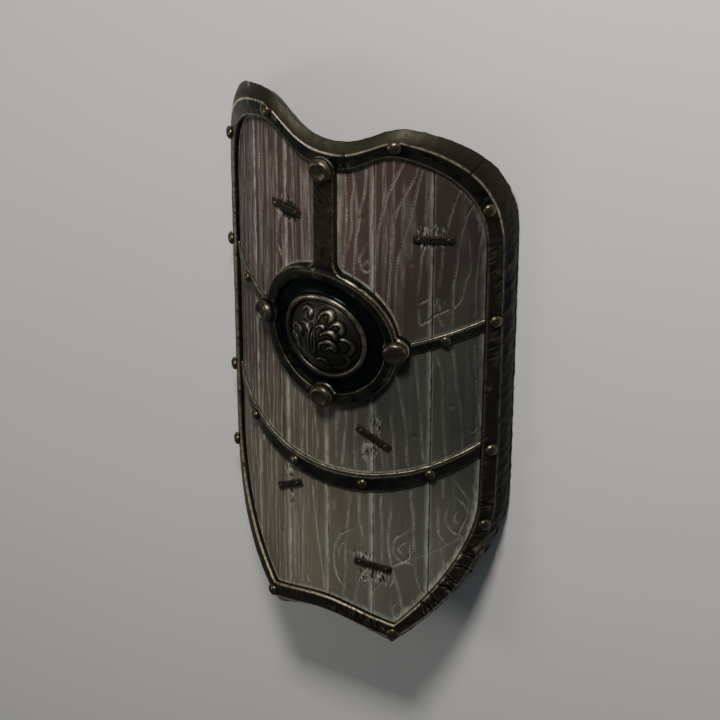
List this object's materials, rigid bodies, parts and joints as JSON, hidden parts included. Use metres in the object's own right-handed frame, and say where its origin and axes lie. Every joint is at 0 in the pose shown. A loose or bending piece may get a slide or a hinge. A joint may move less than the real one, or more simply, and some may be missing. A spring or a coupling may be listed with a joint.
{
  "type": "tower shield",
  "caption": "Tall bowed wooden shield in a forged iron rim, with a raised round boss over a hand hole, iron straps, a band, bolts, rivets and cleats.",
  "frame": {"origin": "centre of the bounding box at its bottom, the level of the rim's two landing edges", "axes": "+X across the shield, +Y up it to its head end, +Z out of its front; it lies boss up"},
  "size_m": [0.6114, 1.174, 0.2235],
  "materials": {
    "boards": "weathered grey oak, dry, deeply grained",
    "iron": "blackened forged iron, hammered, edges rubbed bright",
    "rivets": "browned iron heads, rubbed bright",
    "cleats": "dark red-brown rust"
  },
  "bodies": {
    "root": {"board_1": "boards", "board_2": "boards", "board_3": "boards", "board_4": "boards", "board_5": "boards", "board_6": "boards", "rim": "iron", "frame": "iron", "boss": "iron", "side_strap_left": "iron", "side_strap_right": "iron", "band": "iron", "grip": "iron", "bolt_top": "iron", "bolt_left": "iron", "bolt_right": "iron", "bolt_bottom": "iron", "rim_rivet_left_1": "rivets", "rim_rivet_left_2": "rivets", "rim_rivet_left_3": "rivets", "rim_rivet_left_4": "rivets", "rim_rivet_left_5": "rivets", "rim_rivet_left_6": "rivets", "rim_rivet_right_1": "rivets", "rim_rivet_right_2": "rivets", "rim_rivet_right_3": "rivets", "rim_rivet_right_4": "rivets", "rim_rivet_right_5": "rivets", "rim_rivet_right_6": "rivets", "band_rivet_left_1": "rivets", "band_rivet_left_2": "rivets", "band_rivet_right_1": "rivets", "band_rivet_right_2": "rivets", "strap_rivet_left": "rivets", "strap_rivet_right": "rivets", "cleat_1": "cleats", "cleat_2": "cleats", "cleat_3": "cleats", "cleat_4": "cleats", "cleat_5": "cleats", "cleat_nail_1_1": "cleats", "cleat_nail_1_2": "cleats", "cleat_nail_2_1": "cleats", "cleat_nail_2_2": "cleats", "cleat_nail_3_1": "cleats", "cleat_nail_3_2": "cleats", "cleat_nail_4_1": "cleats", "cleat_nail_4_2": "cleats", "cleat_nail_5_1": "cleats", "cleat_nail_5_2": "cleats"}
  },
  "joints": []
}
